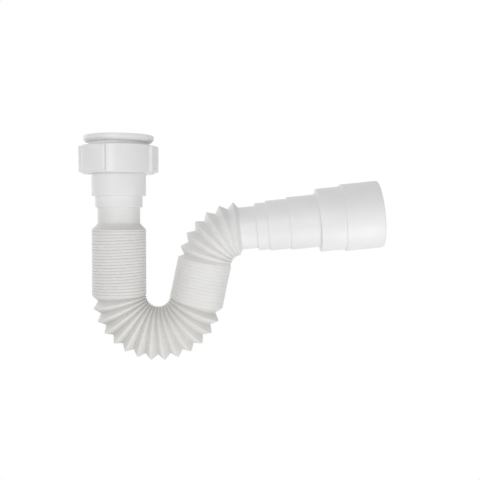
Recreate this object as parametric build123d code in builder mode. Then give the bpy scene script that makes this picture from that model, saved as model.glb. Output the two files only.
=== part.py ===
"""Flexible waste trap: a concertina tube with a union nut, a reducing bush and two washers.

Millimetres, +Z up. The origin is on the inlet axis, where the thread in the bush starts for the
waste of a basin, and +X runs toward the outlet. The tube lies in the plane Y = 0.
"""

import os
from math import cos, radians, sin, tan

from build123d import *

# Reducing bush: 1 1/2 inch pipe thread outside, 1 1/4 inch inside, both drawn plain at mid thread
flange_r = 26.5
flange_height = 4.8
flange_edge = 0.9
flange_bevel = 1.8
spigot_r = 23.12
spigot_chamfer = 0.8
bush_wall = 3.64
bush_lead_in = 0.9
seat_height = 2.2
seat_width = 3.4
relief_depth = 0.8
relief_gap = 0.4

# Washers
inlet_washer_height = 2.4
inlet_washer_play = 0.3
sealing_washer_height = 2.5
sealing_washer_width = 4.6
sealing_washer_play = 0.2

# Union nut
running_gap = 0.08
nut_gap = 2.7
nut_height = 20.9
nut_wall = 4.4
nut_lip = 3.0
nut_edge = 0.9
lug_pairs = 2
lug_angle = 46.0
lug_step = 60.0
lug_height = 2.4
lug_top_drop = 0.6
lug_bottom_rise = 1.1
first_lug_angle = -3.5

# Tube: wall, inlet cuff and its steps
wall = 1.4
collar_play = 0.92
collar_lip = 1.7
collar_height = 3.0
cuff_wall = 2.0
cuff_length = 19.7
step_r = 17.85
step_length = 8.6
neck_length = 12.3
neck_cone = 4.8

# Tube: folds, shut in the two straight runs and open in the two bends
crest_r = 20.5
fold_r = 16.0
groove_depth = 1.0
run_1_length = 49.2
run_1_folds = 22
u_bend_r = 29.6
u_bend_turn = 168.3
u_bend_folds = 14
run_2_length = 34.1
run_2_folds = 13
s_bend_r = 28.4
s_bend_turn = 72.3
s_bend_folds = 6
s_bend_fold_turn = 12.8
hollow_step = 0.5

# Tube: outlet steps, from the bend to the mouth, for waste pipes of several sizes
outlet_cone = 2.0
outlet_neck_length = 12.1
outlet_radii = [17.95, 19.0, 20.0, 24.0, 25.35]
outlet_lengths = [8.4, 16.2, 22.4, 18.7, 28.4]
mouth_edge = 1.0

# Sizes that follow from those above
thread_r = spigot_r - bush_wall
relief_r = thread_r + relief_depth
nut_bore_r = spigot_r + running_gap
nut_r = nut_bore_r + nut_wall
lug_r = nut_r + lug_height
collar_r = spigot_r - collar_play
cuff_r = collar_r - collar_lip
neck_r = fold_r
bore_r = fold_r - wall

# Heights of the bush, the stack in the nut, and the inlet below it
bush_top_z = bush_lead_in
flange_z = bush_top_z - flange_height
nut_top_z = flange_z - nut_gap
nut_bottom_z = nut_top_z - nut_height
lip_top_z = nut_bottom_z + nut_lip
collar_top_z = lip_top_z + collar_height
spigot_end_z = collar_top_z + sealing_washer_height
seat_z = spigot_end_z + seat_height
thread_end_z = seat_z + inlet_washer_height + relief_gap
cuff_end_z = lip_top_z - cuff_length
step_end_z = cuff_end_z - step_length
neck_end_z = step_end_z - neck_length
run_1_z = neck_end_z - neck_cone
run_1_end_z = run_1_z - run_1_length

os.makedirs("parts", exist_ok=True)

# Reducing bush
with BuildPart() as reducing_bush:
    with BuildSketch(Plane.XZ):
        with BuildLine():
            Polyline(
                (thread_r + bush_lead_in, bush_top_z),
                (flange_r - flange_edge, bush_top_z),
                (flange_r, bush_top_z - flange_edge),
                (flange_r, flange_z + flange_bevel),
                (flange_r - flange_bevel, flange_z),
                (spigot_r, flange_z),
                (spigot_r, spigot_end_z + spigot_chamfer),
                (spigot_r - spigot_chamfer, spigot_end_z),
                (thread_r - seat_width, spigot_end_z),
                (thread_r - seat_width, seat_z),
                (relief_r, seat_z),
                (relief_r, thread_end_z),
                (thread_r, thread_end_z),
                (thread_r, 0),
                close=True,
            )
        make_face()
    revolve(axis=Axis.Z)

# Washer on the seat inside the bush, held in the relief under the thread
with BuildPart() as inlet_washer:
    with BuildSketch(Plane.XY.offset(seat_z)):
        Circle(relief_r - inlet_washer_play)
        Circle(thread_r - seat_width, mode=Mode.SUBTRACT)
    extrude(amount=inlet_washer_height)

# Washer between the bush and the collar of the tube
with BuildPart() as sealing_washer:
    with BuildSketch(Plane.XY.offset(collar_top_z)):
        Circle(collar_r - sealing_washer_play)
        Circle(collar_r - sealing_washer_width, mode=Mode.SUBTRACT)
    extrude(amount=sealing_washer_height)

# One lug of the nut, in the frame of the nut
with BuildPart() as lug:
    lug_top_z = nut_top_z - lug_top_drop
    lug_bottom_z = nut_bottom_z + lug_bottom_rise
    with BuildSketch(Plane.XZ):
        with BuildLine():
            Polyline(
                (nut_r - nut_wall / 3, lug_top_z - nut_edge),
                (nut_r, lug_top_z),
                (lug_r - nut_edge, lug_top_z),
                (lug_r, lug_top_z - nut_edge),
                (lug_r, lug_bottom_z + nut_edge),
                (lug_r - nut_edge, lug_bottom_z),
                (nut_r - nut_wall / 3, lug_bottom_z),
                close=True,
            )
        make_face()
    revolve(axis=Axis.Z, revolution_arc=lug_angle)

# Union nut, with two opposite pairs of lugs and a lip below that carries the collar of the tube
with BuildPart() as union_nut:
    with BuildSketch(Plane.XZ):
        with BuildLine():
            Polyline(
                (nut_bore_r + nut_edge, nut_top_z),
                (nut_r - nut_edge, nut_top_z),
                (nut_r, nut_top_z - nut_edge),
                (nut_r, nut_bottom_z + nut_edge),
                (nut_r - nut_edge, nut_bottom_z),
                (cuff_r + running_gap, nut_bottom_z),
                (cuff_r + running_gap, lip_top_z),
                (nut_bore_r, lip_top_z),
                (nut_bore_r, nut_top_z - nut_edge),
                close=True,
            )
        make_face()
    revolve(axis=Axis.Z)
    for lug_place in (first_lug_angle, first_lug_angle + lug_step):
        with PolarLocations(0, lug_pairs, start_angle=lug_place - lug_angle / 2):
            add(lug.part)


def u_bend_plane(angle):
    """Plane across the first bend, with its x axis away from the centre of the bend."""
    a = radians(angle)
    return Plane(
        origin=(u_bend_r * (1 - cos(a)), 0, run_1_end_z - u_bend_r * sin(a)),
        x_dir=(-cos(a), 0, -sin(a)),
        z_dir=(sin(a), 0, -cos(a)),
    )


run_2_start = u_bend_plane(u_bend_turn)
run_2_way = run_2_start.z_dir
s_bend_side = Vector(run_2_way.Z, 0, -run_2_way.X)
s_bend_centre = run_2_start.origin + run_2_way * run_2_length + s_bend_side * s_bend_r


def s_bend_plane(angle):
    """Plane across the second bend, with its x axis away from the centre of the bend."""
    a = radians(angle)
    out = run_2_way * sin(a) - s_bend_side * cos(a)
    return Plane(
        origin=s_bend_centre + out * s_bend_r,
        x_dir=out,
        z_dir=s_bend_side * sin(a) + run_2_way * cos(a),
    )


outlet_start = s_bend_plane(s_bend_turn)

# The hollow of an open fold lies toward the outer side of its bend, where the fold stands open
hollow_r = (crest_r - wall + bore_r + hollow_step) / 2
hollow_shift = (crest_r - wall - bore_r - hollow_step) / 2


def open_fold(bend_r, turn, below=True, above=True):
    """One open fold about its crest, cut off where it meets the next: two cones and their hollow."""
    spread = tan(radians(turn / 2))
    reach = (bend_r + crest_r) * spread
    fall = (crest_r - fold_r) / ((bend_r + fold_r) * spread) * reach
    with BuildPart() as fold:
        for r, shift, mode in ((crest_r, 0, Mode.ADD), (hollow_r, hollow_shift, Mode.SUBTRACT)):
            with BuildSketch(Plane.XZ):
                with BuildLine():
                    Polyline(
                        (shift, -reach),
                        (shift + r - fall, -reach),
                        (shift + r, 0),
                        (shift + r - fall, reach),
                        (shift, reach),
                        close=True,
                    )
                make_face()
            revolve(axis=Axis((shift, 0, 0), (0, 0, 1)), mode=mode)
        a = radians(turn / 2)
        for kept, way in ((above, 1), (below, -1)):
            tilt = a if kept else 0
            centre = (-bend_r, 0, 0)
            split(bisect_by=Plane(centre, z_dir=(-sin(tilt), 0, way * cos(tilt))), keep=Keep.BOTTOM)
    return fold.part


with BuildPart() as bellows_tube:
    # Collar, stepped cuff and the first run, whose folds are shut to a solid stack
    outline = [
        (cuff_r - cuff_wall, collar_top_z),
        (collar_r, collar_top_z),
        (collar_r, lip_top_z),
        (cuff_r, lip_top_z),
        (cuff_r, cuff_end_z),
        (step_r, cuff_end_z),
        (step_r, step_end_z),
        (neck_r, step_end_z),
        (neck_r, neck_end_z),
        (crest_r, run_1_z),
    ]
    for fold in range(run_1_folds):
        outline.append((crest_r - groove_depth, run_1_z - (fold + 0.5) * run_1_length / run_1_folds))
        outline.append((crest_r, run_1_z - (fold + 1) * run_1_length / run_1_folds))
    outline += [
        (bore_r, run_1_end_z),
        (bore_r, step_end_z + wall),
        (step_r - wall, step_end_z + wall),
        (step_r - wall, cuff_end_z + wall),
        (cuff_r - cuff_wall, cuff_end_z + wall),
    ]
    with BuildSketch(Plane.XZ):
        with BuildLine():
            Polyline(*outline, close=True)
        make_face()
    revolve(axis=Axis.Z)

    # First bend: open folds, with half a fold at each end
    u_turn = u_bend_turn / u_bend_folds
    with Locations(u_bend_plane(0)):
        add(open_fold(u_bend_r, u_turn, below=False))
    with Locations(*[u_bend_plane(fold * u_turn) for fold in range(1, u_bend_folds)]):
        add(open_fold(u_bend_r, u_turn))
    with Locations(run_2_start):
        add(open_fold(u_bend_r, u_turn, above=False))

    # Second run, shut like the first
    outline = [(bore_r, 0), (crest_r, 0)]
    for fold in range(run_2_folds):
        outline.append((crest_r - groove_depth, (fold + 0.5) * run_2_length / run_2_folds))
        outline.append((crest_r, (fold + 1) * run_2_length / run_2_folds))
    outline.append((bore_r, run_2_length))
    with BuildSketch(Plane(run_2_start.origin, x_dir=run_2_start.x_dir, z_dir=-run_2_start.y_dir)):
        with BuildLine():
            Polyline(*outline, close=True)
        make_face()
    revolve(axis=Axis(run_2_start.origin, run_2_way))

    # Second bend: the last fold falls to the neck of the outlet
    s_crests = [s_bend_plane((fold + 0.5) * s_bend_fold_turn) for fold in range(s_bend_folds)]
    with Locations(*s_crests[:-1]):
        add(open_fold(s_bend_r, s_bend_fold_turn))
    with Locations(s_crests[-1]):
        add(open_fold(s_bend_r, s_bend_fold_turn, above=False))
    with BuildSketch(s_crests[-1]):
        Circle(crest_r)
    with BuildSketch(outlet_start.offset(outlet_cone)):
        Circle(neck_r)
    loft(ruled=True)
    with BuildSketch(s_crests[-1]):
        with Locations((hollow_shift, 0)):
            Circle(hollow_r)
    with BuildSketch(outlet_start.offset(outlet_cone)):
        Circle(bore_r)
    loft(ruled=True, mode=Mode.SUBTRACT)

    # Stepped outlet, of one wall throughout
    along = outlet_cone + outlet_neck_length
    outside = [(neck_r, outlet_cone), (neck_r, along)]
    inside = [(bore_r, outlet_cone), (bore_r, along + wall)]
    for r, length in zip(outlet_radii, outlet_lengths):
        outside += [(r, along), (r, along + length)]
        inside += [(r - wall, along + wall), (r - wall, along + length + wall)]
        along += length
    inside[-1] = (outlet_radii[-1] - wall, along)
    outside[-1:] = [(outlet_radii[-1], along - mouth_edge), (outlet_radii[-1] - mouth_edge, along)]
    with BuildSketch(Plane(outlet_start.origin, x_dir=outlet_start.x_dir, z_dir=-outlet_start.y_dir)):
        with BuildLine():
            Polyline(*outside, *reversed(inside), close=True)
        make_face()
    revolve(axis=Axis(outlet_start.origin, outlet_start.z_dir))

for node, built in (
    ("bellows_tube", bellows_tube),
    ("union_nut", union_nut),
    ("reducing_bush", reducing_bush),
    ("sealing_washer", sealing_washer),
    ("inlet_washer", inlet_washer),
):
    built.part.label = node
    export_step(built.part, f"parts/{node}.step")
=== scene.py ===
"""Looks of the flexible trap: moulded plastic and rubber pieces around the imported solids.

Sizes are in millimetres as in the part's source, and each mesh is written in metres.
Floor, lights and camera are in metres.
"""

from math import atan2, cos, pi, radians, sin, tan

import bmesh
import bpy
import numpy as np
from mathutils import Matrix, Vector


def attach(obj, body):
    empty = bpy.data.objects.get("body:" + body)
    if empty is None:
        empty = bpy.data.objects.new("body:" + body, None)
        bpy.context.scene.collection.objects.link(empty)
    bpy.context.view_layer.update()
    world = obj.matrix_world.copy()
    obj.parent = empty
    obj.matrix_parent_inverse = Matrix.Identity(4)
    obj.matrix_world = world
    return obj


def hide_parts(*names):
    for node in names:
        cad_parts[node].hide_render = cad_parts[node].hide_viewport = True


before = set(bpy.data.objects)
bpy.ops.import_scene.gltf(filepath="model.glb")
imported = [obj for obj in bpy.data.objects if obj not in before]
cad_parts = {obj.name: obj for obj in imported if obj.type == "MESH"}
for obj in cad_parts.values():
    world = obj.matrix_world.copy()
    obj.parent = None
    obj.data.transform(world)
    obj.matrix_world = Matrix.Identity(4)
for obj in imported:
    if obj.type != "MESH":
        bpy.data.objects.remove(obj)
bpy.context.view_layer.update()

MM = 0.001
SHARP_ANGLE = radians(38)

# Bush
FLANGE_R = 26.5
FLANGE_TOP = 0.9
FLANGE_BOTTOM = -3.9
FLANGE_BEVEL = 1.8
SPIGOT_END = -19.0
SPIGOT_LEAD = 1.5
SPIGOT_TIP = 1.7
SEAT_Z = -16.8
SEAT_R = 16.08
RELIEF_R = 20.28
BORE_THREAD_END = -14.0
BORE_THREAD_R = 19.48
BORE_MOUTH = 0.9
BORE_LEAD_Z = -0.8
BUSH_COUNT = 144

# Threads: pitch of 11 turns an inch, the two radii of the joint between bush and nut, the shape
# of a tooth, and how steeply each thread runs in and out
PITCH = 25.4 / 11
THREAD_ROW = PITCH / 14
ROOT_R = 22.55
CREST_R = 23.75
THREAD_GAP = 0.12
TOOTH_HEIGHT = 1.35
TOOTH_SLOPE = 3.8
THREAD_START = FLANGE_BOTTOM - 1.0
BUSH_RUN_IN = 1.6
BORE_RUN_IN = 1.5
NUT_RUN_IN = 2.2
LEAD_SLOPE = 1.1
ROW_GAP = 0.1

# Nut
NUT_TOP = -6.6
NUT_BOTTOM = -27.5
NUT_MOUTH_R = 24.1
NUT_FOOT_R = 26.0
LIP_TOP = -24.5
LIP_R = 20.58
NUT_R = 27.6
LUG_R = 30.0
LUG_PAIRS = 2
LUG_ANGLE = 46.0
LUG_STEP = 60.0
FIRST_LUG = -3.5
LUG_COLUMNS = 19
PLAIN_STEP = 2.4
NUT_RELIEF_R = 24.0
NUT_THREAD_END = LIP_TOP + 3.3
NUT_WALL_TOP = NUT_TOP - 2.2
NUT_WALL_BOTTOM = NUT_BOTTOM + 2.8
NUT_WALL_ROWS = 5

# Side edge of a lug, as degrees from its middle and the share of the lug there
LUG_EDGE = ((-0.7, 0), (-0.4, 0.06), (-0.2, 0.24), (0.12, 0.8), (0.3, 0.95), (0.7, 1))

# Rounded edges of the nut, row by row downward, as inset and height from the end face,
# first of the plain wall and then of a lug
NUT_TOP_EDGE = (
    ((0.8, 0), (3.2, 0)),
    ((0.35, 0.1), (2.75, 0.1)),
    ((0.1, 0.35), (2.5, 0.35)),
    ((0, 0.6), (2.25, 0.52)),
    ((0, 0.8), (1.9, 0.6)),
    ((0, 1.0), (0.8, 0.6)),
    ((0, 1.2), (0.35, 0.7)),
    ((0, 1.45), (0.1, 0.95)),
    ((0, 1.75), (0, 1.4)),
)
NUT_BOTTOM_EDGE = (
    ((0, 2.3), (0, 1.9)),
    ((0, 2.0), (0.1, 1.45)),
    ((0, 1.75), (0.35, 1.2)),
    ((0, 1.5), (0.8, 1.1)),
    ((0, 1.25), (1.9, 1.1)),
    ((0, 1.0), (2.25, 1.0)),
    ((0, 0.6), (2.4, 0.6)),
    ((0.1, 0.3), (2.5, 0.3)),
    ((0.35, 0.1), (2.75, 0.1)),
    ((0.8, 0), (3.2, 0)),
)

# Tube
WALL = 1.4
TUBE_COUNT = 96
COLLAR_TOP = -21.5
COLLAR_R = 22.2
CUFF_R = 20.5
CUFF_BORE_R = 18.5
CUFF_END = -44.2
STEP_R = 17.85
STEP_END = -52.8
NECK_R = 16.0
NECK_END = -65.1
BORE_R = 14.6
BORE_ROWS = 5
FOLD_CREST_R = 20.5
FOLD_R = 16.0
GROOVE_1 = 0.68
GROOVE_2 = 0.25
RUN_1_TOP = -69.9
RUN_1_LENGTH = 49.2
RUN_1_FOLDS = 22
U_BEND_R = 29.6
U_BEND_TURN = radians(168.3)
U_BEND_FOLDS = 14
U_FOLD_TURN = U_BEND_TURN / U_BEND_FOLDS
RUN_2_LENGTH = 34.1
RUN_2_FOLDS = 13
RUN_2_BEAT = 5
S_BEND_R = 28.4
S_BEND_TURN = radians(72.3)
S_BEND_FOLDS = 6
S_FOLD_TURN = radians(12.8)
HOLLOW_R = 17.1
HOLLOW_SHIFT = 2.0
OUTLET_CONE = 2.0
OUTLET_NECK = 12.1
OUTLET_RADII = (17.95, 19.0, 20.0, 24.0, 25.35)
OUTLET_LENGTHS = (8.4, 16.2, 22.4, 18.7, 28.4)
MOUTH_EDGE = 1.06
MOUTH_INNER_EDGE = 0.25
RIM_STEPS = 4

# Rows across a shut fold and across half an open one, and how soft the open folds are
RIB_STEPS = (0.0, 0.14, 0.26, 0.36, 0.43, 0.475, 0.5, 0.525, 0.57, 0.64, 0.74, 0.86)
FOLD_STEPS = (0.0, 0.035, 0.08, 0.16, 0.34, 0.58, 0.78, 0.9, 0.965, 1.0)
CONE_STEPS = (0.08, 0.3, 0.55, 0.8, 0.95)
CREST_SOFT = 0.07
VALLEY_SOFT = 0.06

# Shut folds: rounding, unevenness from fold to fold, and the slant of the first run
RIB_POWER = 2.6
RIB_ROUND = 0.6
RIB_UNEVEN = 0.14
RIB_BEAT = 2.3
RIB_LEAN = radians(2.4)
LEAN_EASE = 9.0

# Where the colour of the folds, which is darker partly as painted shade, and the painted shade of the
# grooves and of the cone under the neck begin and fade
NECK_FADE_TOP = STEP_END + 3.0
NECK_FADE_LENGTH = 9.0
CONE_PAINTED_SHADE_TOP = NECK_END + 0.5
CONE_PAINTED_SHADE_LENGTH = 2.0
CONE_PAINTED_SHADE = 0.8
SHUT_PAINTED_SHADE = 0.3
S_BEND_FADE = 0.6

# Washers
WASHER_COUNT = 96
WASHER_EDGE = 0.35
UNION_WASHER_INNER_R = 17.6
UNION_WASHER_R = 22.0
INLET_WASHER_R = 19.98
INLET_WASHER_TOP = -14.4

# Colours and the depth of light in the white plastic
WHITE_LIGHT = (0.85, 0.85, 0.852)
WHITE_DARK = (0.8, 0.8, 0.803)
CUFF_LIGHT = (0.86, 0.86, 0.86)
CUFF_DARK = (0.8, 0.8, 0.8)
# The folds' colours are a little warmer than the cuffs', and darker as painted shade for the shade
# among the folds
FOLD_LIGHT = (0.805, 0.8, 0.785)
FOLD_DARK = (0.745, 0.74, 0.727)
# Painted shade that darkens the folds' colour in their grooves and valleys
GROOVE_PAINTED_SHADE = (0.86, 0.845, 0.83)
RUBBER_LIGHT = (0.05, 0.05, 0.052)
RUBBER_DARK = (0.02, 0.02, 0.021)
FLOOR_LIGHT = (0.9, 0.9, 0.9)
FLOOR_DARK = (0.86, 0.86, 0.86)
SCATTER_RADIUS = (0.003, 0.0026, 0.0022)
SCATTER_SCALE = 0.5

# Floor, lights and camera
VIEW_CENTRE = Vector((0.09196, 0.0, -0.0777))
CAMERA_DISTANCE = 0.58
CAMERA_RISE = 0.018
VIEW_WIDTH = 0.3648
SENSOR_WIDTH = 36.0
FLOOR_Z = -0.55
FLOOR_SIZE = 6.0
FLOOR_FADE = 0.7
FLOOR_NEAR_WHITE = 0.92
WORLD_LIGHT = 0.58


def rounded(corners, steps=4, closed=True):
    """Outline through (r, z, fillet) corners, each rounded by an arc of its fillet."""
    outline = []
    last = len(corners) - 1
    for i, (r, z, fillet) in enumerate(corners):
        here = np.array((r, z))
        if fillet == 0 or (not closed and i in (0, last)):
            outline.append((r, z))
            continue
        before = np.array(corners[i - 1][:2]) - here
        after = np.array(corners[(i + 1) % len(corners)][:2]) - here
        room = 0.49 * min(np.linalg.norm(before), np.linalg.norm(after))
        before = before / np.linalg.norm(before)
        after = after / np.linalg.norm(after)
        half = np.arccos(np.clip(before @ after, -1, 1)) / 2
        reach = min(fillet / tan(half), room)
        radius = reach * tan(half)
        middle = (before + after) / np.linalg.norm(before + after)
        centre = here + middle * radius / sin(half)
        start = here + before * reach - centre
        end = here + after * reach - centre
        first = atan2(start[1], start[0])
        sweep = (atan2(end[1], end[0]) - first + pi) % (2 * pi) - pi
        for k in range(steps + 1):
            a = first + sweep * k / steps
            outline.append((centre[0] + radius * cos(a), centre[1] + radius * sin(a)))
    return outline


def mesh_of_rings(name, rings, **values):
    """Closed mesh through rings of points, joined round and end to end, with a value a vertex."""
    rings = np.asarray(rings)
    count, around = rings.shape[:2]
    index = np.arange(count * around).reshape(count, around)
    beside = np.roll(index, -1, axis=1)
    faces = np.stack((index, beside, np.roll(beside, -1, axis=0), np.roll(index, -1, axis=0)), -1)
    mesh = bpy.data.meshes.new(name)
    mesh.from_pydata((rings.reshape(-1, 3) * MM).tolist(), [], faces.reshape(-1, 4).tolist())
    work = bmesh.new()
    work.from_mesh(mesh)
    bmesh.ops.recalc_face_normals(work, faces=work.faces[:])
    work.to_mesh(mesh)
    work.free()
    mesh.shade_smooth()
    mesh.set_sharp_from_angle(angle=SHARP_ANGLE)
    for key, value in values.items():
        attribute = mesh.attributes.new(key, "FLOAT", "POINT")
        attribute.data.foreach_set("value", np.asarray(value, np.float32).ravel())
    piece = bpy.data.objects.new(name, mesh)
    bpy.context.scene.collection.objects.link(piece)
    return piece


def even_angles(count):
    return 2 * pi * np.arange(count) / count


def level(r, z, angles):
    """Points of one level ring about the inlet axis."""
    r = np.broadcast_to(r, angles.shape)
    z = np.broadcast_to(z, angles.shape)
    return np.stack((r * np.cos(angles), r * np.sin(angles), z), -1)


def level_rings(corners, angles):
    """Rings along an open outline of (r, z, fillet) corners."""
    return [level(r, z, angles) for r, z in rounded(corners, closed=False)]


def thread(z, angles, low, high):
    """Radius of a right-hand thread round one level."""
    phase = (z / PITCH - angles / (2 * pi)) % 1
    tooth = np.clip(TOOTH_HEIGHT - TOOTH_SLOPE * np.abs(phase - 0.5), 0, 1)
    return low + (high - low) * tooth


def thread_rows(low, high):
    return np.linspace(low, high, int(abs(high - low) / THREAD_ROW) + 1)


# Bush: flange, threaded spigot and threaded bore


def make_bush():
    angles = even_angles(BUSH_COUNT)
    flange = [
        (BORE_THREAD_R + BORE_MOUTH, FLANGE_TOP, 0),
        (FLANGE_R, FLANGE_TOP, 0.7),
        (FLANGE_R, FLANGE_BOTTOM + FLANGE_BEVEL, 0.5),
        (FLANGE_R - FLANGE_BEVEL, FLANGE_BOTTOM, 0.4),
        (ROOT_R, FLANGE_BOTTOM, 0.3),
        (ROOT_R, THREAD_START + ROW_GAP, 0),
    ]
    seat = [
        (CREST_R - SPIGOT_TIP, SPIGOT_END, 0),
        (SEAT_R, SPIGOT_END, 0.3),
        (SEAT_R, SEAT_Z, 0.2),
        (RELIEF_R, SEAT_Z, 0.2),
        (RELIEF_R, BORE_THREAD_END - 2 * ROW_GAP, 0),
    ]
    rings = level_rings(flange, angles)
    for z in thread_rows(THREAD_START, SPIGOT_END + ROW_GAP):
        start = ROOT_R + BUSH_RUN_IN * (THREAD_START - z)
        end = CREST_R - SPIGOT_LEAD + LEAD_SLOPE * (z - SPIGOT_END)
        r = np.minimum(thread(z, angles, ROOT_R, CREST_R), min(start, end))
        rings.append(level(r, z, angles))
    rings += level_rings(seat, angles)
    for z in thread_rows(BORE_THREAD_END, -ROW_GAP):
        start = RELIEF_R - BORE_RUN_IN * (z - BORE_THREAD_END)
        end = BORE_THREAD_R + LEAD_SLOPE * (z - BORE_LEAD_Z)
        r = np.maximum(thread(z, angles, BORE_THREAD_R, RELIEF_R), max(start, end))
        rings.append(level(np.minimum(r, RELIEF_R), z, angles))
    return mesh_of_rings("bush", rings)


# Nut: two opposite pairs of lugs outside, a thread inside, and the lip that carries the tube


def lug_share():
    """Angles round the nut, with the share of a lug at each."""
    found = []
    for pair, second in np.ndindex(LUG_PAIRS, 2):
        low = FIRST_LUG + 360 / LUG_PAIRS * pair + LUG_STEP * second - LUG_ANGLE / 2
        high = low + LUG_ANGLE
        gap = (360 / LUG_PAIRS - LUG_STEP if second else LUG_STEP) - LUG_ANGLE
        found += [(low + offset, share) for offset, share in LUG_EDGE]
        found += [(a, 1) for a in np.linspace(low, high, LUG_COLUMNS)[1:-1]]
        found += [(high - offset, share) for offset, share in reversed(LUG_EDGE)]
        found += [(high + a, 0) for a in np.linspace(0, gap, int(gap / PLAIN_STEP) + 1)[1:-1]]
    angles, shares = np.array(found).T
    return np.radians(angles), shares


def make_nut():
    angles, share = lug_share()

    def wall_ring(plain, lug, face=0.0, way=0):
        plain_r, lug_r = NUT_R - plain[0], LUG_R - lug[0]
        plain_z, lug_z = face + way * plain[1], face + way * lug[1]
        r = plain_r + share * (lug_r - plain_r)
        return level(r, plain_z + share * (lug_z - plain_z), angles)

    lip = [
        (NUT_FOOT_R, NUT_BOTTOM, 0),
        (LIP_R, NUT_BOTTOM, 0.5),
        (LIP_R, LIP_TOP, 0.3),
        (NUT_RELIEF_R, LIP_TOP, 0.3),
        (NUT_RELIEF_R, NUT_THREAD_END - ROW_GAP, 0),
    ]
    rings = [level(NUT_MOUTH_R, NUT_TOP, angles)]
    rings += [wall_ring(plain, lug, NUT_TOP, -1) for plain, lug in NUT_TOP_EDGE]
    for z in np.linspace(NUT_WALL_TOP, NUT_WALL_BOTTOM, NUT_WALL_ROWS):
        rings.append(wall_ring((0, 0), (0, 0), z))
    rings += [wall_ring(plain, lug, NUT_BOTTOM, 1) for plain, lug in NUT_BOTTOM_EDGE]
    rings += level_rings(lip, angles)
    for z in thread_rows(NUT_THREAD_END, NUT_TOP - ROW_GAP):
        start = NUT_RELIEF_R - NUT_RUN_IN * (z - NUT_THREAD_END)
        end = NUT_RELIEF_R + LEAD_SLOPE * (z - NUT_TOP)
        r = thread(z, angles, ROOT_R, CREST_R) + THREAD_GAP
        rings.append(level(np.maximum(r, max(start, end)), z, angles))
    return mesh_of_rings("nut", rings)


# Tube: places along its middle line, each as origin, direction and side vector

ACROSS = np.array((0.0, 1.0, 0.0))
TUBE_TURN = even_angles(TUBE_COUNT)
TUBE_COS, TUBE_SIN = np.cos(TUBE_TURN), np.sin(TUBE_TURN)
RUN_1_END = RUN_1_TOP - RUN_1_LENGTH


def section(place, r, lift=0.0, shift=0.0):
    """Points round one section of the tube. The radius and the lift may differ round it."""
    origin, along, side = place
    r = np.broadcast_to(r, TUBE_COS.shape)
    lift = np.broadcast_to(lift, TUBE_COS.shape)
    ring = origin + np.outer(shift + r * TUBE_COS, side) + np.outer(r * TUBE_SIN, ACROSS)
    return ring + np.outer(lift, along)


def inlet_place(z):
    return np.array((0.0, 0.0, z)), np.array((0.0, 0.0, -1.0)), np.array((-1.0, 0.0, 0.0))


def u_place(a):
    origin = np.array((U_BEND_R * (1 - cos(a)), 0.0, RUN_1_END - U_BEND_R * sin(a)))
    return origin, np.array((sin(a), 0.0, -cos(a))), np.array((-cos(a), 0.0, -sin(a)))


RUN_2_START, RUN_2_WAY, RUN_2_SIDE = u_place(U_BEND_TURN)
S_CENTRE = RUN_2_START + RUN_2_WAY * RUN_2_LENGTH + RUN_2_SIDE * S_BEND_R


def run_2_place(distance):
    return RUN_2_START + RUN_2_WAY * distance, RUN_2_WAY, RUN_2_SIDE


def s_place(a):
    """The second bend turns the other way, so its outer side is opposite to the side vector."""
    side = RUN_2_SIDE * cos(a) - RUN_2_WAY * sin(a)
    return S_CENTRE - side * S_BEND_R, RUN_2_SIDE * sin(a) + RUN_2_WAY * cos(a), side


def s_fold_place(fold):
    return s_place((fold + 0.5) * S_FOLD_TURN)


def outlet_place(distance):
    origin, along, side = s_place(S_BEND_TURN)
    return origin + along * distance, along, side


# Folds of the tube


def ribs(folds, length, start, depth, lean=0.0):
    """Shut folds as (radius, distance, lift, painted groove shade), rounded outside and parted by thin
    grooves.
    """
    pitch = length / folds
    for fold in range(folds):
        deep = depth * (1 - RIB_UNEVEN + RIB_UNEVEN * sin(RIB_BEAT * (fold + start)))
        for step in RIB_STEPS:
            distance = (fold + step) * pitch
            off = 2 * min(step, 1 - step)
            groove = 1 - (1 - off**RIB_POWER) ** RIB_ROUND
            ease = min(1.0, distance / LEAN_EASE, (length - distance) / LEAN_EASE)
            r = FOLD_CREST_R - deep * groove
            # The last value is the painted shade in the groove.
            yield r, distance, tan(lean * ease) * r * TUBE_COS, SHUT_PAINTED_SHADE * groove


def soft(share, width):
    """A share from 0 to 1 that starts level, as if rounded over the width."""
    return ((share * share + width * width) ** 0.5 - width) / ((1 + width * width) ** 0.5 - width)


def fold_cone(bend_r, turn, outer):
    """Spread and slope of half an open fold, and how far each point round it leans outward.

    Outer is 1 where the side vector points away from the centre of the bend, and -1 where it
    points to it.
    """
    spread = tan(turn / 2)
    slope = (FOLD_CREST_R - FOLD_R) / ((bend_r + FOLD_R) * spread)
    return spread, slope, outer * TUBE_COS


def fold_half(bend_r, turn, outer, way):
    """Outside of half an open fold, from its crest, as (radius, lift, fall to the valley, used as
    painted groove shade).
    """
    spread, slope, lean = fold_cone(bend_r, turn, outer)
    reach = spread * (bend_r + FOLD_CREST_R * lean) / (1 + slope * spread * lean)
    for step in FOLD_STEPS:
        fall = 1 - soft(1 - soft(step, CREST_SOFT), VALLEY_SOFT)
        yield FOLD_CREST_R - slope * reach * fall, way * step * reach, fall


def first_half(bend_r, turn, outer):
    """From the valley to just before the crest."""
    return list(fold_half(bend_r, turn, outer, -1))[:0:-1]


def second_half(bend_r, turn, outer):
    """From the crest to just before the next valley."""
    return list(fold_half(bend_r, turn, outer, 1))[:-1]


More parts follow.
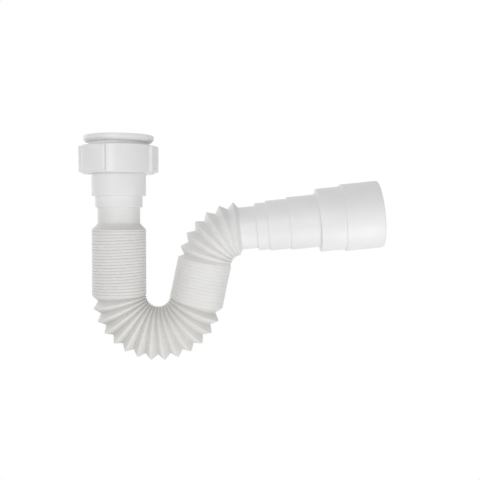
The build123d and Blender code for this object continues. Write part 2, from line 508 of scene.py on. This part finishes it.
def hollow(place, bend_r, turn, outer):
    """Inside of half an open fold: the ring at its next valley and the ring at its crest."""
    spread, slope, lean = fold_cone(bend_r, turn, outer)
    reach = spread * (bend_r + HOLLOW_SHIFT + HOLLOW_R * lean) / (1 + slope * spread * lean)
    shift = outer * HOLLOW_SHIFT
    yield section(place, HOLLOW_R - slope * reach, reach, shift)
    yield section(place, HOLLOW_R, 0, shift)


def rim(r, distance, turn):
    """A quarter round from the wall to the end face, inward where turn is below 0."""
    fillet = abs(turn)
    for a in radians(90) * np.arange(RIM_STEPS + 1) / RIM_STEPS:
        yield r + turn * (1 - cos(a)), distance - fillet * (1 - sin(a)), 0


def outlet_outline():
    """Outside and inside of the stepped outlet as (radius, distance, fillet)."""
    along = OUTLET_CONE + OUTLET_NECK
    outside = [(NECK_R, OUTLET_CONE, 0), (NECK_R, along, 0.35)]
    inside = [(BORE_R, OUTLET_CONE, 0), (BORE_R, along + WALL, 0.5)]
    for r, length in zip(OUTLET_RADII, OUTLET_LENGTHS):
        outside += [(r, along, 0.5), (r, along + length, 0.35)]
        inside += [(r - WALL, along + WALL, 0.3), (r - WALL, along + length + WALL, 0.5)]
        along += length
    outside[-1:] = rim(OUTLET_RADII[-1], along, -MOUTH_EDGE)
    inside[-1:] = rim(OUTLET_RADII[-1] - WALL, along, MOUTH_INNER_EDGE)
    return outside, inside


# One closed skin of the tube, outside from the collar to the mouth and back inside


class Skin:
    """Rings of the tube in order, each with its share of the folds' colour, which is darker partly as
    painted shade, and of painted groove shade.
    """

    def __init__(self):
        self.rings, self.folds, self.painted_groove_shades = [], [], []

    def add(self, ring, fold=0.0, groove=0.0):
        self.rings.append(ring)
        self.folds.append(np.broadcast_to(fold, TUBE_COS.shape))
        self.painted_groove_shades.append(np.broadcast_to(groove, TUBE_COS.shape))


def add_inlet(skin):
    """Collar, stepped cuff, neck and first run."""
    cuff = [
        (CUFF_BORE_R, COLLAR_TOP, 0),
        (COLLAR_R, COLLAR_TOP, 0.4),
        (COLLAR_R, LIP_TOP, 0.4),
        (CUFF_R, LIP_TOP, 0.3),
        (CUFF_R, CUFF_END, 0.6),
        (STEP_R, CUFF_END, 0.4),
        (STEP_R, STEP_END, 0.6),
        (NECK_R, STEP_END, 0.4),
        (NECK_R, NECK_END, 1.2),
        (FOLD_CREST_R - ROW_GAP / 2, RUN_1_TOP + ROW_GAP / 2, 0),
    ]
    for r, z in rounded(cuff, closed=False):
        # The folds' colour, darker partly as painted shade, spreads up over the neck, so the neck gets
        # darker downward.
        fold = np.clip((NECK_FADE_TOP - z) / NECK_FADE_LENGTH, 0, 1)
        # Painted shade on the cone under the neck.
        painted_shade = np.clip((CONE_PAINTED_SHADE_TOP - z) / CONE_PAINTED_SHADE_LENGTH, 0, CONE_PAINTED_SHADE)
        skin.add(section(inlet_place(z), r), fold, painted_shade)
    for r, distance, lift, groove in ribs(RUN_1_FOLDS, RUN_1_LENGTH, 0, GROOVE_1, RIB_LEAN):
        skin.add(section(inlet_place(RUN_1_TOP - distance), r, lift), 1, groove)


def add_u_bend(skin):
    """Whole folds, with half of one at each end."""
    bend = U_BEND_R, U_FOLD_TURN, 1
    for fold in range(U_BEND_FOLDS + 1):
        rows = first_half(*bend) if fold > 0 else []
        if fold < U_BEND_FOLDS:
            rows += second_half(*bend)
        # The valleys of the open folds get painted shade.
        for r, lift, groove in rows:
            skin.add(section(u_place(fold * U_FOLD_TURN), r, lift), 1, groove)


def add_second_bend(skin):
    """Second run, and the bend up to the crest of its last fold."""
    last_crest = RUN_2_LENGTH * (1 - 1 / RUN_2_FOLDS)
    for r, distance, _, groove in ribs(RUN_2_FOLDS - 1, last_crest, RUN_2_BEAT, GROOVE_2):
        skin.add(section(run_2_place(distance), r), 1, groove)
    skin.add(section(run_2_place(last_crest), FOLD_CREST_R), 1)
    bend = S_BEND_R, S_FOLD_TURN, -1
    for fold in range(S_BEND_FOLDS):
        rows = first_half(*bend) + second_half(*bend)
        if fold == S_BEND_FOLDS - 1:
            rows = rows[: len(FOLD_STEPS)]
        # The folds' colour, darker partly as painted shade, fades along this bend, and its valleys get
        # a weaker painted shade.
        share = 1 - S_BEND_FADE * (fold + 1) / S_BEND_FOLDS
        for r, lift, groove in rows:
            skin.add(section(s_fold_place(fold), r, lift), share, SHUT_PAINTED_SHADE * groove)


def add_outlet(skin):
    """Cone from the last crest to the neck, then the steps to the mouth and back inside."""
    outside, inside = outlet_outline()
    crest, neck = skin.rings[-1], section(outlet_place(OUTLET_CONE), NECK_R)
    for share in CONE_STEPS:
        # On the cone the painted groove shade grows towards the neck while the folds' colour fades out.
        skin.add(crest + (neck - crest) * share, (1 - S_BEND_FADE) * (1 - share), share)
    for r, distance in rounded(outside, closed=False):
        skin.add(section(outlet_place(distance), r))
    for r, distance in reversed(rounded(inside, closed=False)):
        skin.add(section(outlet_place(distance), r))


def add_waterway(skin):
    """Inside of both bends and runs, and of the stepped cuff."""
    bore = [
        (BORE_R, RUN_1_TOP + 2, 0),
        (BORE_R, STEP_END + WALL, 0.5),
        (STEP_R - WALL, STEP_END + WALL, 0.4),
        (STEP_R - WALL, CUFF_END + WALL, 0.5),
        (CUFF_BORE_R, CUFF_END + WALL, 0.4),
        (CUFF_BORE_R, COLLAR_TOP - 0.3, 0),
    ]
    skin.add(section(s_fold_place(S_BEND_FOLDS - 1), HOLLOW_R, 0, -HOLLOW_SHIFT), 1)
    for fold in reversed(range(S_BEND_FOLDS - 1)):
        for ring in hollow(s_fold_place(fold), S_BEND_R, S_FOLD_TURN, -1):
            skin.add(ring, 1)
    for distance in np.linspace(RUN_2_LENGTH, 0, BORE_ROWS):
        skin.add(section(run_2_place(distance), BORE_R), 1)
    for fold in reversed(range(U_BEND_FOLDS)):
        for ring in hollow(u_place(fold * U_FOLD_TURN), U_BEND_R, U_FOLD_TURN, 1):
            skin.add(ring, 1)
    for z in np.linspace(RUN_1_END + 0.5, RUN_1_TOP, BORE_ROWS):
        skin.add(section(inlet_place(z), BORE_R), 1)
    for r, z in rounded(bore, closed=False):
        skin.add(section(inlet_place(z), r))


def make_tube():
    skin = Skin()
    for add_part in (add_inlet, add_u_bend, add_second_bend, add_outlet, add_waterway):
        add_part(skin)
    return mesh_of_rings("tube", skin.rings, fold=skin.folds, groove=skin.painted_groove_shades)


def make_washer(name, inner, outer, bottom, top):
    corners = ((inner, bottom), (outer, bottom), (outer, top), (inner, top))
    angles = even_angles(WASHER_COUNT)
    outline = rounded([(r, z, WASHER_EDGE) for r, z in corners])
    return mesh_of_rings(name, [level(r, z, angles) for r, z in outline])


# Materials


class Nodes:
    """A material's nodes, with short calls to add and join them."""

    def __init__(self, name):
        self.material = bpy.data.materials.new(name)
        self.material.use_nodes = True
        self.tree = self.material.node_tree
        self.shader = self.tree.nodes["Principled BSDF"]

    def add(self, kind, **settings):
        node = self.tree.nodes.new(kind)
        for key, value in settings.items():
            setattr(node, key, value)
        return node

    def join(self, source, target):
        self.tree.links.new(source, target)

    def drive(self, source, name):
        """Join a source to one of the shader's sockets."""
        self.join(source, self.shader.inputs[name])

    def even(self, **values):
        """Set the shader's numbers that are the same all over the surface."""
        for name, value in values.items():
            self.shader.inputs[name.replace("_", " ")].default_value = value

    def attribute(self, name):
        return self.add("ShaderNodeAttribute", attribute_name=name).outputs["Fac"]

    def noise(self, scale, detail, rough=0.5):
        noise = self.add("ShaderNodeTexNoise")
        noise.inputs["Scale"].default_value = scale
        noise.inputs["Detail"].default_value = detail
        noise.inputs["Roughness"].default_value = rough
        self.join(self.add("ShaderNodeTexCoord").outputs["Object"], noise.inputs["Vector"])
        return noise.outputs["Fac"]

    def ramp(self, source, dark, light, span=(0.3, 0.72)):
        """Two colours, blended where the source crosses the span."""
        ramp = self.add("ShaderNodeValToRGB")
        for element, position, colour in zip(ramp.color_ramp.elements, span, (dark, light)):
            element.position = position
            element.color = (*colour, 1)
        self.join(source, ramp.inputs["Fac"])
        return ramp.outputs["Color"]

    def mix(self, share, first, second, blend="MIX"):
        """Mix of two colours, each of them and the share a socket or a fixed value."""
        mix = self.add("ShaderNodeMix", data_type="RGBA", blend_type=blend)
        for value, place in zip((share, first, second), (mix.inputs[0], *mix.inputs[6:8])):
            if isinstance(value, bpy.types.NodeSocket):
                self.join(value, place)
            elif isinstance(value, tuple):
                place.default_value = (*value, 1)
            else:
                place.default_value = value
        return mix.outputs[2]

    def spread(self, source, low, high):
        span = self.add("ShaderNodeMapRange")
        span.inputs["To Min"].default_value = low
        span.inputs["To Max"].default_value = high
        self.join(source, span.inputs["Value"])
        return span.outputs["Result"]

    def bump(self, source, strength, distance, below=None):
        bump = self.add("ShaderNodeBump")
        bump.inputs["Strength"].default_value = strength
        bump.inputs["Distance"].default_value = distance
        self.join(source, bump.inputs["Height"])
        if below:
            self.join(below, bump.inputs["Normal"])
        return bump.outputs["Normal"]


def plastic(name, rough_low, rough_high):
    """Glossy moulded plastic: faint cloudiness, soft flow waves and a fine skin."""
    nodes = Nodes(name)
    nodes.drive(nodes.ramp(nodes.noise(scale=38, detail=3), WHITE_DARK, WHITE_LIGHT), "Base Color")
    smear = nodes.noise(scale=120, detail=4, rough=0.6)
    nodes.drive(nodes.spread(smear, rough_low, rough_high), "Roughness")
    wave = nodes.bump(nodes.noise(scale=60, detail=1), strength=0.12, distance=0.0012)
    grain = nodes.noise(scale=900, detail=3)
    nodes.drive(nodes.bump(grain, strength=0.05, distance=0.0002, below=wave), "Normal")
    nodes.even(Specular_IOR_Level=0.4, Subsurface_Weight=0.08)
    nodes.even(Subsurface_Radius=SCATTER_RADIUS, Subsurface_Scale=SCATTER_SCALE)
    return nodes.material


def tube_plastic():
    """Blown tube: smooth cuffs, and duller folds that are a little warmer and darker as painted shade,
    with more painted shade in the grooves.
    """
    nodes = Nodes("tube_plastic")
    fold, groove = nodes.attribute("fold"), nodes.attribute("groove")
    cloud = nodes.noise(scale=34, detail=3)
    cuff = nodes.ramp(cloud, CUFF_DARK, CUFF_LIGHT)
    # Painted shade in the grooves and valleys, from the mesh's groove share.
    painted_shade = nodes.mix(groove, (1.0, 1.0, 1.0), GROOVE_PAINTED_SHADE)
    folds = nodes.mix(1.0, nodes.ramp(cloud, FOLD_DARK, FOLD_LIGHT), painted_shade, "MULTIPLY")
    nodes.drive(nodes.mix(fold, cuff, folds), "Base Color")
    smear = nodes.noise(scale=140, detail=4, rough=0.6)
    gloss = nodes.add("ShaderNodeMix", data_type="FLOAT")
    nodes.join(fold, gloss.inputs[0])
    nodes.join(nodes.spread(smear, 0.34, 0.46), gloss.inputs[2])
    nodes.join(nodes.spread(smear, 0.4, 0.54), gloss.inputs[3])
    nodes.drive(gloss.outputs[0], "Roughness")
    wave = nodes.bump(nodes.noise(scale=95, detail=2), strength=0.2, distance=0.0012)
    grain = nodes.noise(scale=1100, detail=3)
    nodes.drive(nodes.bump(grain, strength=0.06, distance=0.0002, below=wave), "Normal")
    nodes.even(Specular_IOR_Level=0.36, Subsurface_Weight=0.1)
    nodes.even(Subsurface_Radius=SCATTER_RADIUS, Subsurface_Scale=SCATTER_SCALE)
    return nodes.material


def rubber():
    """Black washer rubber with a dusty bloom and a fine grain."""
    nodes = Nodes("washer_rubber")
    bloom = nodes.noise(scale=160, detail=5, rough=0.65)
    nodes.drive(nodes.ramp(bloom, RUBBER_DARK, RUBBER_LIGHT, (0.35, 0.75)), "Base Color")
    nodes.drive(nodes.spread(bloom, 0.62, 0.82), "Roughness")
    grain = nodes.noise(scale=1500, detail=4)
    nodes.drive(nodes.bump(grain, strength=0.2, distance=0.0002), "Normal")
    return nodes.material


# Pieces on their bodies

washer_rubber = rubber()
bush = make_bush()
nut = make_nut()
tube = make_tube()
union_washer = make_washer(
    "washer_union", UNION_WASHER_INNER_R, UNION_WASHER_R, COLLAR_TOP, SPIGOT_END
)
inlet_washer = make_washer("washer_inlet", SEAT_R, INLET_WASHER_R, SEAT_Z, INLET_WASHER_TOP)
for piece, material, node, body, slot in (
    (bush, plastic("bush_plastic", 0.3, 0.42), "reducing_bush", "bush", "bush"),
    (inlet_washer, washer_rubber, "inlet_washer", "bush", "washer"),
    (nut, plastic("nut_plastic", 0.28, 0.4), "union_nut", "nut", "nut"),
    (union_washer, washer_rubber, "sealing_washer", "washer", "washer"),
    (tube, tube_plastic(), "bellows_tube", "tube", "tube"),
):
    piece.data.materials.append(material)
    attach(piece, body)
    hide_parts(node)

# Floor, world, lights and camera


def seen_rays(tree):
    """A factor that is 1 for rays from the camera and for those that mirrors and glass send on."""
    path = tree.nodes.new("ShaderNodeLightPath")
    factor = path.outputs["Is Camera Ray"]
    for other in ("Is Glossy Ray", "Is Transmission Ray"):
        either = tree.nodes.new("ShaderNodeMath")
        either.operation = "MAXIMUM"
        tree.links.new(factor, either.inputs[0])
        tree.links.new(path.outputs[other], either.inputs[1])
        factor = either.outputs[0]
    return factor


def floor_white():
    """Pale matt floor that is seen as white from a distance and keeps a faint shadow near by."""
    nodes = Nodes("floor_white")
    nodes.even(Roughness=0.9, Specular_IOR_Level=0.0)
    colour = nodes.ramp(nodes.noise(scale=3, detail=2), FLOOR_DARK, FLOOR_LIGHT, (0.3, 0.7))
    nodes.drive(colour, "Base Color")
    glow = nodes.add("ShaderNodeEmission")
    glow.inputs["Strength"].default_value = 1.0
    distance = nodes.add("ShaderNodeVectorMath", operation="DISTANCE")
    nodes.join(nodes.add("ShaderNodeTexCoord").outputs["Object"], distance.inputs[0])
    distance.inputs[1].default_value = (VIEW_CENTRE.x, 0.0, FLOOR_Z)
    fade = nodes.add("ShaderNodeMapRange", interpolation_type="SMOOTHSTEP")
    fade.inputs["From Max"].default_value = FLOOR_FADE
    fade.inputs["To Min"].default_value = FLOOR_NEAR_WHITE
    nodes.join(distance.outputs["Value"], fade.inputs["Value"])
    share = nodes.add("ShaderNodeMath", operation="MULTIPLY")
    nodes.join(seen_rays(nodes.tree), share.inputs[0])
    nodes.join(fade.outputs["Result"], share.inputs[1])
    both = nodes.add("ShaderNodeMixShader")
    nodes.join(share.outputs[0], both.inputs[0])
    nodes.join(nodes.shader.outputs[0], both.inputs[1])
    nodes.join(glow.outputs[0], both.inputs[2])
    nodes.join(both.outputs[0], nodes.tree.nodes["Material Output"].inputs["Surface"])
    return nodes.material


def make_floor():
    mesh = bpy.data.meshes.new("floor")
    half = FLOOR_SIZE / 2
    corners = ((-half, -half), (half, -half), (half, half), (-half, half))
    mesh.from_pydata([(x, y, FLOOR_Z) for x, y in corners], [], [(0, 1, 2, 3)])
    mesh.materials.append(floor_white())
    floor = bpy.data.objects.new("floor", mesh)
    bpy.context.scene.collection.objects.link(floor)


def make_world():
    world = bpy.data.worlds.new("studio")
    bpy.context.scene.world = world
    world.use_nodes = True
    tree = world.node_tree
    light = tree.nodes["Background"]
    white = tree.nodes.new("ShaderNodeBackground")
    for background, strength in ((light, WORLD_LIGHT), (white, 1.0)):
        background.inputs["Color"].default_value = (1.0, 1.0, 1.0, 1)
        background.inputs["Strength"].default_value = strength
    mix = tree.nodes.new("ShaderNodeMixShader")
    tree.links.new(seen_rays(tree), mix.inputs[0])
    tree.links.new(light.outputs[0], mix.inputs[1])
    tree.links.new(white.outputs[0], mix.inputs[2])
    tree.links.new(mix.outputs[0], tree.nodes["World Output"].inputs["Surface"])


def add_aimed(name, data, place):
    """Put a lamp or a camera at a place, aimed at the middle of the view."""
    thing = bpy.data.objects.new(name, data)
    thing.location = place
    thing.rotation_euler = (VIEW_CENTRE - thing.location).to_track_quat("-Z", "Y").to_euler()
    bpy.context.scene.collection.objects.link(thing)
    return thing


def area_light(name, place, size, power):
    lamp = bpy.data.lights.new(name, "AREA")
    lamp.shape = "DISK"
    lamp.size = size
    lamp.energy = power
    add_aimed(name, lamp, place).visible_camera = False


def make_camera():
    lens = bpy.data.cameras.new("camera")
    lens.sensor_width = SENSOR_WIDTH
    lens.lens = SENSOR_WIDTH * CAMERA_DISTANCE / VIEW_WIDTH
    lens.clip_start = 0.01
    place = VIEW_CENTRE + Vector((0, -CAMERA_DISTANCE, CAMERA_RISE))
    bpy.context.scene.camera = add_aimed("camera", lens, place)


make_floor()
make_world()
area_light("low", place=(0.26, -0.24, -0.41), size=0.3, power=0.62)
area_light("front", place=(-0.3, -1.05, 0.12), size=0.36, power=2.8)
area_light("back", place=(-0.6, 0.75, 0.2), size=1.0, power=1.9)
make_camera()
bpy.context.scene.view_settings.view_transform = "Standard"
